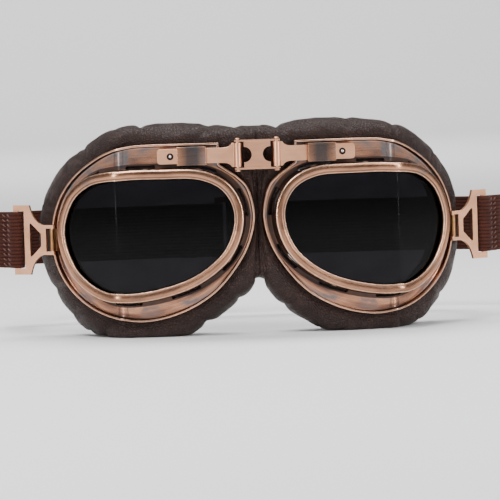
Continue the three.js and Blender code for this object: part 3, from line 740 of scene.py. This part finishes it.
def lens_gasket(name, side):
    """The rubber channel that the panes sit in."""
    angles = even_angles(bezel_reach, 160)
    profile = [(-1.3, PANE_FRONT), (-1.3, -2.1), (-4.6, -2.1), (-4.6, -2.8), (-2.25, -2.8),
               (-2.25, PANE_FRONT)]
    corners = developed([(near_bezel(angles, offset), depth) for offset, depth in profile])
    sections = rounded(corners, 0.15, 3)[0]
    gasket = grid_mesh(f"{name}_gasket", bend(sections), side)
    sharpen(gasket, 50)
    return gasket


def facet_spot(facet, u, z, depth):
    """A point on one flat facet. facet -1 is on the nose side of the crease, 1 on the temple side."""
    tangent_u = FOLD_U + facet * FOLD_RADIUS * OUTER_WRAP / 2
    heading = INNER_WRAP if facet < 0 else INNER_WRAP + OUTER_WRAP
    spot = place(tangent_u, z, depth)
    spot[..., 0] += (u - tangent_u) * math.cos(heading)
    spot[..., 1] += (u - tangent_u) * math.sin(heading)
    return spot


def lens(name, side):
    """Two flat panes that meet in a mitre at the crease, with eased edges."""
    edge = near_bezel(even_angles(bezel_reach, 300), -PANE_INSET)
    edge = edge[np.abs(edge[:, 0] - FOLD_U) > 2.4]
    outline = [(1 if u > FOLD_U else -1, u, z) for u, z in edge]
    for sign in (1, -1):
        outline.append((0, FOLD_U, EYE_Z + sign * (bezel_reach(sign * math.pi / 2) - PANE_INSET)))
    outline.sort(key=lambda p: math.atan2(p[2] - EYE_Z, p[1] - FOLD_U))
    loops = []
    for inset, depth in ((PANE_EASE, PANE_FRONT), (0, PANE_FRONT + PANE_EASE),
                         (0, PANE_BACK - PANE_EASE), (PANE_EASE, PANE_BACK)):
        half_arc = FOLD_RADIUS * OUTER_WRAP / 2
        mitre = (FOLD_RADIUS - depth) * math.tan(OUTER_WRAP / 2) - half_arc
        loop = []
        for facet, u, z in outline:
            shrink = inset / math.hypot(u - FOLD_U, z - EYE_Z)
            u_in = u - (u - FOLD_U) * shrink if facet else FOLD_U - mitre
            loop.append(facet_spot(facet or 1, u_in, z - (z - EYE_Z) * shrink, depth))
        loops.append(loop)
    m = len(outline)
    piece = grid_mesh(f"{name}_lens", np.array(loops), side, close_u=False)
    bm = bmesh.new()
    bm.from_mesh(piece.data)
    bm.verts.ensure_lookup_table()
    first, second = [k for k, spot in enumerate(outline) if spot[0] == 0]
    faces = (0, 3 * m)
    for start in faces:
        for ring in (range(first, second + 1), [*range(second, m), *range(first + 1)]):
            bm.faces.new([bm.verts[start + k] for k in ring])
    creases = [bm.edges.get([bm.verts[start + first], bm.verts[start + second]])
               for start in faces]
    bmesh.ops.bevel(bm, geom=creases, offset=0.00022, segments=2, profile=0.5, affect="EDGES")
    bmesh.ops.recalc_face_normals(bm, faces=bm.faces)
    bm.to_mesh(piece.data)
    bm.free()
    sharpen(piece, 20)
    return piece


for name, side in SIDES.items():
    body = f"{name}_frame"
    finish_piece(frame_ring(name, side), body, "aged_copper", ring_metal, f"{name}_frame_ring")
    finish_piece(lens_bezel(name, side), body, "aged_copper", bezel_metal, f"{name}_lens_bezel")
    finish_piece(lens_gasket(name, side), body, "gasket_rubber", gasket_rubber,
                 f"{name}_lens_gasket")
    finish_piece(lens(name, side), body, "smoked_lens", smoked_lens, f"{name}_inner_pane",
                 f"{name}_outer_pane")


# ------------------------------------------------------------------ bridge and brackets
def dress(node, material, width):
    """A CAD node's flat faces are merged and its edges are rolled over, and it takes a material."""
    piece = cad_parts[node]
    weld = piece.modifiers.new("weld", "WELD")
    weld.merge_threshold = SAME_POINT
    merge = piece.modifiers.new("merge", "DECIMATE")
    merge.decimate_type = "DISSOLVE"
    merge.angle_limit = math.radians(1.0)
    roll = piece.modifiers.new("roll", "BEVEL")
    roll.width = width / 1000
    roll.segments = 3
    roll.limit_method = "ANGLE"
    roll.angle_limit = math.radians(35)
    piece.data.shade_smooth()
    piece.modifiers.new("facets", "WEIGHTED_NORMAL").keep_sharp = True
    piece.data.materials.clear()
    piece.data.materials.append(material)


def lathe(name, centre, heading, profile, side, steps=40):
    """Turns (radius, depth) points about an axis square to the frame at the centre."""
    turns = np.linspace(0, 2 * math.pi, steps, endpoint=False)
    right = np.array([math.cos(heading), math.sin(heading), 0])
    back = np.array([-math.sin(heading), math.cos(heading), 0])
    up = np.array([0, 0, 1.0])
    rows = [centre + back * depth + radius * (right * math.cos(t) + up * math.sin(t))
            for t in turns for radius, depth in profile]
    piece = grid_mesh(name, np.array(rows).reshape(steps, len(profile), 3), side)
    sharpen(piece, 40)
    return piece


RIVET_U = 37.8
ARM_FRONT = -3.1 - SHEET / 2
BRIDGE_Z = 79.6
dress("bridge_link_plate", satin, 0.2)
dress("strap_slide", satin, 0.25)
for name, side in SIDES.items():
    spot = place(RIVET_U, BRIDGE_Z, ARM_FRONT)
    cup = lathe(f"{name}_rivet_cup", spot, INNER_WRAP, [
        (1.5, 0.12), (1.5, -0.1), (1.38, -0.2), (1.2, -0.14), (1.02, 0.0), (0.85, 0.12)], side)
    # The cup takes the patina and painted shade colour.
    finish_piece(cup, f"{name}_arm", "satin_copper", rivet_patina_and_shade)
    ball = lathe(f"{name}_rivet_head", spot, INNER_WRAP, [
        (0.002, -0.86), (0.3, -0.82), (0.58, -0.66), (0.78, -0.4), (0.84, -0.1), (0.8, 0.12),
        (0.002, 0.14)], side)
    finish_piece(ball, f"{name}_arm", "satin_copper", rivet_bright, f"{name}_stop_rivet")
    dress(f"{name}_hinge_pin", satin, 0.12)
    dress(f"{name}_bridge_arm", satin, 0.2)
    dress(f"{name}_bridge_sleeve", sleeve_metal, 0.3)
    dress(f"{name}_bracket_knuckle", tab_metal, 0.15)
    dress(f"{name}_strap_bracket", satin, 0.3)


# ------------------------------------------------------------------ cushions
# A cushion section is drawn in (t, y): t = 0 at the bezel, 1 at the ring's edge, 2 at the
# cushion's widest line, and y is the depth. The third number is 1 on the outer wall.
CUSHION_SECTION = [
    (0.35, 1.75, 0.6), (0.90, 1.75, 1), (1.06, 1.15, 1), (1.30, 0.60, 1), (1.62, 1.35, 1),
    (1.90, 4.3, 1), (2.03, 9.5, 1), (1.99, 15.0, 1), (1.72, 20.0, 1), (1.22, 22.9, 0.9),
    (0.62, 23.9, 0.4), (0.12, 23.2, 0), (-0.05, 20.0, 0), (-0.05, 12.0, 0), (-0.05, 4.5, 0),
    (0.05, 2.2, 0.1),
]
CUSHION_STATIONS = 320
CUSHION_COLUMNS = 40
# Puckers where the seam behind pulls the leather in: angle in degrees from the crease point,
# half-width in degrees, and depth in millimetres.
PUCKERS = {
    "left": [(103, 1.6, 0.9), (131, 2.0, 1.1), (63, 2.2, 0.5), (18, 3.0, 0.5), (-34, 3.0, 0.6),
             (-76, 2.2, 0.9), (-104, 2.2, 0.6), (-133, 2.4, 0.8), (-150, 2.2, 0.6)],
    "right": [(138, 1.8, 1.1), (112, 2.2, 0.5), (84, 2.2, 0.6), (46, 2.4, 0.5), (3, 3.0, 0.5),
              (-46, 2.6, 0.7), (-84, 2.2, 0.6), (-118, 2.2, 0.8), (-145, 2.2, 0.7)],
}


def soft_max(value, floor, width):
    """The larger of the two, with the corner between them rounded over the width."""
    gap = value - floor
    return floor + 0.5 * (gap + np.sqrt(gap ** 2 + width ** 2))


def section_reach(angle, t):
    """Distance from the crease point for stations (N,) and section places (K,), as N x K."""
    bezel, ring, cushion = (f(angle)[:, None] for f in (bezel_reach, ring_reach, cushion_reach))
    inner = bezel + (ring - bezel) * t
    outer = ring + (np.maximum(cushion, ring + 0.8) - ring) * (t - 1)
    return np.where(t < 1, inner, outer)


def cushion_points(angle, reach, y, outer, sole=0.0):
    """Section points in space. Beside the nose the cushion keeps clear of the middle, and its
    underside is flat."""
    cosine, sine = np.cos(angle)[:, None], np.sin(angle)[:, None]
    height = soft_max(EYE_Z + reach * sine, sole, 0.8)
    spot = place(FOLD_U + reach * cosine, height, FRONT_Y)
    spot[..., 1] += y - FRONT_Y
    edge = NOSE_HALF + NOSE_FLARE * spot[..., 1] + (1 - outer) * NOSE_LOBE
    spot[..., 0] = soft_max(spot[..., 0], edge, 0.9)
    return spot


def dips(angle, puckers):
    total = np.zeros_like(angle)
    for degrees, half_width, depth in puckers:
        off = (angle - math.radians(degrees) + math.pi) % (2 * math.pi) - math.pi
        total += depth * np.exp(-(off / math.radians(half_width)) ** 2)
    return total


def waves(angle, seed, amounts):
    rng = np.random.default_rng(seed)
    return sum(amount * np.sin(order * angle + rng.uniform(0, 2 * math.pi))
               for order, amount in amounts)


def simulate(piece, free, frames=16, pressure=4.0, growth=0.03, cap=2.4):
    """Swells the piece as cloth where free is 1, and caps how far a point moves, in millimetres.
    The cloth is worked out at ten times its size, where the solver's masses suit it."""
    rest = np.array([v.co for v in piece.data.vertices])
    piece.data.vertices.foreach_set("co", (rest * 10).ravel())
    group = piece.vertex_groups.new(name="pin")
    for index, value in enumerate(1 - free):
        group.add([index], float(value), "REPLACE")
    cloth = piece.modifiers.new("cloth", "CLOTH").settings
    cloth.quality = 5
    cloth.mass = 0.15
    cloth.tension_stiffness = cloth.compression_stiffness = 20
    cloth.shear_stiffness = 8
    cloth.bending_stiffness = 1.2
    cloth.use_pressure = True
    cloth.uniform_pressure_force = pressure
    cloth.shrink_min = -growth
    cloth.vertex_group_mass = "pin"
    cloth.pin_stiffness = 2.0
    cloth.effector_weights.gravity = 0
    scene = bpy.context.scene
    for step in range(1, frames + 1):
        scene.frame_set(step)
    graph = bpy.context.evaluated_depsgraph_get()
    shaped = piece.evaluated_get(graph).data
    moved = np.array([v.co for v in shaped.vertices]) / 10
    piece.modifiers.clear()
    piece.vertex_groups.clear()
    scene.frame_set(1)
    shift = moved - rest
    far = np.linalg.norm(shift, axis=1, keepdims=True) * 1000
    shift *= np.minimum(1, cap * np.tanh(far / cap) / np.maximum(far, 1e-9))
    piece.data.vertices.foreach_set("co", (rest + shift).ravel())
    piece.data.update()


def subdivide(piece, levels=1):
    level = piece.modifiers.new("smooth", "SUBSURF")
    level.levels = level.render_levels = levels
    apply_modifiers(piece)


def cushion(name, side):
    angle = even_angles(cushion_reach, CUSHION_STATIONS)
    controls = np.array(CUSHION_SECTION)
    curve = catmull(controls * [6, 1, 6], closed=True, steps=16) / [6, 1, 6]
    legs = np.linalg.norm(np.diff(np.vstack([curve, curve[:1]]) * [8, 1, 0], axis=0), axis=1)
    length = np.concatenate([[0], np.cumsum(legs)])
    wanted = np.arange(CUSHION_COLUMNS) / CUSHION_COLUMNS * length[-1]
    t, y, outer = (np.interp(wanted, length, np.append(curve[:, k], curve[0, k]))
                   for k in range(3))
    outer = np.clip(outer, 0, 1)
    skin = np.clip((t - 1.0) / 0.5, 0, 1) * np.clip((23.6 - y) / 3.0, 0, 1)
    seed = 5 if side > 0 else 11
    swell = waves(angle, seed, ((4, 0.35), (7, 0.25), (13, 0.16), (23, 0.1)))
    reach = section_reach(angle, t) + (swell - dips(angle, PUCKERS[name]))[:, None] * skin
    depth = y + (waves(angle, seed + 1, ((6, 0.3), (11, 0.25), (19, 0.2)))[:, None]
                 + 0.5 * dips(angle, PUCKERS[name])[:, None]) * skin
    rows = cushion_points(angle, reach, depth, outer)
    piece = grid_mesh(f"{name}_cushion", rows, side)
    free = np.tile(skin, CUSHION_STATIONS)
    away = rows[..., 0].ravel() - NOSE_HALF - NOSE_FLARE * rows[..., 1].ravel()
    free *= np.clip(away / 3.0, 0, 1) * np.clip(rows[..., 2].ravel() / 3.0, 0, 1)
    simulate(piece, free)
    subdivide(piece)
    wrinkle(piece, seed)
    return piece


def wrinkle(piece, seed, amount=0.00022):
    """Fine creases pressed into the leather along its surface normals."""
    offset = Vector((seed * 3.1, seed * 1.7, 0))
    outward = [v.normal.copy() for v in piece.data.vertices]
    for vertex, normal in zip(piece.data.vertices, outward):
        spot = vertex.co * 130 + offset
        ridge = 1 - abs(noise.noise(spot + 0.6 * noise.noise_vector(spot * 0.5)))
        vertex.co += normal * amount * ((ridge ** 3) - 0.6)
    piece.data.update()


def face_lining(name, side):
    """A felt roll on the back of the cushion, where it meets the face."""
    angle = even_angles(cushion_reach, 220)
    turns = np.linspace(0, 2 * math.pi, 14, endpoint=False)
    t = 0.62 + 0.56 * np.cos(turns)
    y = CUSHION_DEPTH + 0.75 + 1.15 * np.sin(turns) - 0.5 * (np.cos(turns) > 0.6)
    outer = np.clip(0.5 + 0.5 * np.cos(turns), 0, 1)
    reach = section_reach(angle, t) + waves(angle, 3, ((9, 0.2), (17, 0.15)))[:, None]
    rows = cushion_points(angle, reach, y + waves(angle, 4, ((31, 0.12), (47, 0.1)))[:, None],
                          outer, 0.9)
    return grid_mesh(f"{name}_lining_roll", rows, side)


def gusset_half(name, side):
    """Half of the leather between the cushions: it dips into a soft crease down the middle, its
    outer edge tucks in under the cushion, and it rolls back at the top and at the nose arch."""
    z = np.linspace(NOSE_ARCH[1] + 0.8, NOSE_TOP[1] + 0.3, 110)
    share = np.linspace(0, 1, 17)[None]
    near_end = np.clip(1 - np.minimum((z - z[0]) / 5.5, (z[-1] - z) / 3.5), 0, 1)[:, None]
    rolled = 6.5 * (1 - np.sqrt(1 - near_end ** 2))
    crease = (3.5 + 0.4 * np.sin(z * 0.21) + 0.2 * np.sin(z * 0.63 + 1))[:, None]
    fold = 0.22 * np.sin(z * 0.5 + 1.3 * side)[:, None] * np.sin(share * math.pi)
    face = np.zeros((len(z), share.size, 3))
    face[..., 0] = share * (4.4 + 0.12 * rolled)
    face[..., 1] = crease - 1.5 * np.sin(share * math.pi / 2) ** 0.8 + 1.1 * share ** 4 + fold + rolled
    arch = np.clip(1 - (z - z[0]) / 6.0, 0, 1)[:, None]
    face[..., 2] = z[:, None] - 2.4 * share ** 2 * arch
    back = face[:, ::-1].copy()
    back[..., 1] += 1.3
    rows = np.concatenate([face, back], 1)
    piece = grid_mesh(f"{name}_nose_gusset", rows, side, close_u=False)
    cap_ends(piece, rows.shape[1])
    sharpen(piece, 60)
    return piece


for name, side in SIDES.items():
    body = f"{name}_frame"
    pad = finish_piece(cushion(name, side), body, "leather", leather, f"{name}_cushion_cover",
                       f"{name}_foam_core")
    felt = finish_piece(face_lining(name, side), body, "lining", lining, f"{name}_face_lining")
    gusset = gusset_half(name, side)
    gusset.data.materials.append(leather)
    mm((0.2, 5, 60), side)
    mm((3.2, 5, 60), side)
    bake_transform(gusset)
    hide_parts("nose_gusset")

# ------------------------------------------------------------------ strap
hinge = place(BRACKET_U, BRACKET_Z, BRACKET_DEPTH)[:2]
FOLD_OVER = SHEET / 2 + GAP + WEB_THICK / 2
FOLD_IN = OUTER_BAR_IN + 0.35
SLIDE_FOLD = SLIDE_BAR - 0.6
RIBS = 16
RIB_STEPS = 6
RIB_DEPTH = 0.36
SELVEDGE_HALF = 0.25
STITCH_ROWS = ((21.9, -1.25, 0.28), (24.6, -0.62, 0.0))
STITCHES = 11
STITCH_PITCH = 2.18


def bracket_plan(along, across):
    c, s = math.cos(BRACKET_TURN), math.sin(BRACKET_TURN)
    return hinge + np.array([along * c - across * s, along * s + across * c])


def respaced(points, spacing):
    length = np.concatenate([[0], np.cumsum(np.linalg.norm(np.diff(points, axis=0), axis=1))])
    wanted = np.linspace(0, length[-1], max(2, round(length[-1] / spacing)) + 1)
    return np.stack([np.interp(wanted, length, points[:, k]) for k in range(2)], -1)


def strap_route():
    """The strap's middle line in plan: its raw end, round the bracket's outer bar, back past the
    head, and round the slide's bar."""
    sewn = catmull([bracket_plan(*p) for p in (
        (25.8, 0.12), (23.5, 0.1), (21.4, -0.75), (19.4, -FOLD_OVER), (FOLD_IN, -FOLD_OVER))])
    turn = np.linspace(-math.pi / 2, -3 * math.pi / 2, 12)
    fold = np.array([bracket_plan(FOLD_IN + FOLD_OVER * math.cos(a), FOLD_OVER * math.sin(a))
                     for a in turn])
    run = catmull([bracket_plan(FOLD_IN, FOLD_OVER), bracket_plan(21.3, FOLD_OVER),
                   bracket_plan(28.8, FOLD_OVER), (120, 72), (115, 92), (97, 108), (66, 115),
                   (35, SLIDE_Y + FOLD_OVER), (14.5, SLIDE_Y + FOLD_OVER),
                   (SLIDE_FOLD, SLIDE_Y + FOLD_OVER)])
    turn = np.linspace(math.pi / 2, 3 * math.pi / 2, 12)
    back = np.stack([SLIDE_FOLD + FOLD_OVER * np.cos(turn),
                     SLIDE_Y + FOLD_OVER * np.sin(turn)], -1)
    tail = np.array([(SLIDE_FOLD, SLIDE_Y - FOLD_OVER), (25.5, SLIDE_Y - FOLD_OVER)])
    return np.vstack([respaced(sewn, 0.8), fold[1:-1], respaced(run, 1.6), back[1:-1],
                      respaced(tail, 2.0)])


def strap_rows(route):
    """Ribbed sections along the route, which drops a little towards the back. Returns them with
    the lengths along and across, and how far each point stands on a rib."""
    along = np.gradient(route, axis=0)
    along /= np.linalg.norm(along, axis=1, keepdims=True)
    across = np.stack([-along[:, 1], along[:, 0]], -1)
    s = np.linspace(0, 1, RIBS * RIB_STEPS + 1)
    rib = np.sqrt(np.abs(np.sin(math.pi * RIBS * s)))
    half = (WEB_THICK / 2 - RIB_DEPTH) + RIB_DEPTH * rib
    half[0] = half[-1] = SELVEDGE_HALF
    v = np.concatenate([s, s[::-1]]) * WEB_WIDTH
    h = np.concatenate([half, -half[::-1]])
    drop_from, drop_to = hinge[1] + 15, SLIDE_Y - 10
    drop_share = np.clip((route[:, 1] - drop_from) / (drop_to - drop_from), 0, 1)
    drop = STRAP_DROP * drop_share ** 2 * (3 - 2 * drop_share)
    rows = np.zeros((len(route), len(v), 3))
    rows[..., :2] = route[:, None] + across[:, None] * h[None, :, None]
    rows[..., 2] = BRACKET_Z - drop[:, None] + (v - WEB_WIDTH / 2)[None]
    length = np.concatenate([[0], np.cumsum(np.linalg.norm(np.diff(route, axis=0), axis=1))])
    column = np.concatenate([np.concatenate([s, 1 + s]) * WEB_WIDTH, [2 * WEB_WIDTH]])
    return rows, length, column, np.concatenate([rib, rib[::-1]])


def strap_pieces(name, side):
    """One strap half, parted into three pieces: in front, at the side and at the back."""
    route = strap_route()
    rows, length, column, rib = strap_rows(route)
    cuts = [0, int(np.argmax(route[:, 1] > 80)), int(np.argmax(route[:, 1] > 104)),
            len(route) - 1]
    spans = [
        ("front", f"{name}_frame", f"{name}_bracket", route[cuts[1]], bracket_plan(30, 1.7)),
        ("side", f"{name}_arm", f"{name}_frame", route[cuts[2]], route[cuts[1]]),
        ("back", "bridge", f"{name}_arm", (30, 117.7), route[cuts[2]]),
    ]
    for k, (word, body_a, body_b, start, end) in enumerate(spans):
        part = slice(cuts[k], cuts[k + 1] + 1)
        piece = grid_mesh(f"{name}_strap_{word}", rows[part], side, close_u=False,
                          lengths=(length[part], column), rib=rib)
        cap_ends(piece, rows.shape[1])
        sharpen(piece, 60)
        piece.data.materials.append(webbing)
        mm((*start, 40), side)
        mm((*end, 40), side)
        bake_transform(piece)
        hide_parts(f"{name}_strap")


def stitches(name, side):
    """Slanted stitches through the sewn end of the strap, on its front face. The row nearer the
    bar lies on the slope where the end rises to the fold."""
    bm = bmesh.new()
    turns = np.linspace(0, 2 * math.pi, 8, endpoint=False)
    outward = np.array([*(bracket_plan(0, -1) - hinge), 0])
    for along, lift, slope in STITCH_ROWS:
        for k in range(STITCHES):
            z = BRACKET_Z + (k - (STITCHES - 1) / 2) * STITCH_PITCH
            start = np.array([*bracket_plan(along - 0.75, lift - slope), z - 0.55])
            end = np.array([*bracket_plan(along + 0.75, lift + slope), z + 0.55])
            axis = (end - start) / np.linalg.norm(end - start)
            side_a = np.cross(axis, (0, 0, 1.0))
            side_a /= np.linalg.norm(side_a)
            side_b = np.cross(axis, side_a)
            rings = []
            for t, radius in ((0, 0.1), (0.12, 0.24), (0.5, 0.3), (0.88, 0.24), (1, 0.1)):
                centre = start + t * (end - start) + outward * 0.16 * math.sin(math.pi * t)
                rings.append(mm([centre + radius * (math.cos(a) * side_a + math.sin(a) * side_b)
                                 for a in turns], side))
            add_tube(bm, rings)
    piece = tube_object(f"{name}_stitches", bm)
    piece.data.shade_smooth()
    return piece


for name, side in SIDES.items():
    strap_pieces(name, side)
    finish_piece(stitches(name, side), f"{name}_bracket", "webbing", thread)


# ------------------------------------------------------------------ camera, light and floor
CAMERA_YAW = math.radians(4.9)
CAMERA_PITCH = math.radians(3.5)
CAMERA_ROLL = math.radians(-1.77)
CAMERA_DISTANCE = 1.5
CAMERA_LENS = 244.7
CAMERA_TARGET = Vector((-0.00334, -0.045, 0.0370))


def add_camera():
    data = bpy.data.cameras.new("camera")
    data.lens = CAMERA_LENS
    data.sensor_width = 36
    data.clip_end = 20
    camera = new_object("camera", data)
    ahead = Vector((math.sin(CAMERA_YAW) * math.cos(CAMERA_PITCH),
                    math.cos(CAMERA_YAW) * math.cos(CAMERA_PITCH), -math.sin(CAMERA_PITCH)))
    look = ahead.to_track_quat("-Z", "Y").to_matrix().to_4x4()
    roll = Matrix.Rotation(CAMERA_ROLL, 4, "Z")
    camera.matrix_world = Matrix.Translation(CAMERA_TARGET - ahead * CAMERA_DISTANCE) @ look @ roll
    bpy.context.scene.camera = camera


def add_light(name, place_at, aim, size, power):
    data = bpy.data.lights.new(name, "AREA")
    data.shape = "RECTANGLE"
    data.size, data.size_y = size
    data.energy = power
    light = new_object(name, data)
    light.location = place_at
    light.rotation_euler = (Vector(aim) - Vector(place_at)).to_track_quat("-Z", "Y").to_euler()


def add_stage():
    """A pale floor that sweeps up into a low backdrop, far behind the object."""
    half, front, back, radius, height = 5.0, -4.0, 3.6, 0.6, 0.9
    path = [(front, 0.0), (back - radius, 0.0)]
    path += [(back - radius + radius * math.sin(t), radius - radius * math.cos(t))
             for t in np.linspace(0, math.pi / 2, 17)[1:]]
    path.append((back, height))
    floor_z = cad_low.z
    verts = [(x, y, z + floor_z) for y, z in path for x in (-half, half)]
    faces = [(2 * k, 2 * k + 1, 2 * k + 3, 2 * k + 2) for k in range(len(path) - 1)]
    mesh = bpy.data.meshes.new("floor")
    mesh.from_pydata(verts, [], faces)
    mesh.shade_smooth()
    floor = new_object("floor", mesh)
    n = Nodes("floor")
    paper = n.noise(n.coords((9, 9, 9)), 1.0, 2.0)
    n.set(Base_Color=n.mix(paper, (0.86, 0.86, 0.86), (0.88, 0.88, 0.88)), Roughness=0.75)
    mesh.materials.append(n.material)


SUBJECT = (0, 0, 0.04)
LIGHTS = [
    ("key", (-0.45, -0.6, 1.05), SUBJECT, (0.6, 0.5), 12),
    ("fill", (0.75, -0.75, 0.75), SUBJECT, (0.5, 0.5), 5),
    ("top", (0.0, 0.3, 1.1), SUBJECT, (1.3, 0.5), 17),
    ("backdrop", (0, 1.7, 1.5), (0, 3.4, 0.3), (2.5, 0.5), 60),
    ("left_strip", (-0.67, -0.74, 0.15), SUBJECT, (0.1, 0.6), 5.0),
    ("right_strip", (0.79, -0.62, 0.15), SUBJECT, (0.1, 0.6), 5.0),
]
add_camera()
add_stage()
for light in LIGHTS:
    add_light(*light)
world = bpy.data.worlds.new("studio")
world.use_nodes = True
background = world.node_tree.nodes["Background"]
background.inputs["Color"].default_value = (0.97, 0.98, 1.0, 1)
background.inputs["Strength"].default_value = 0.25
bpy.context.scene.world = world
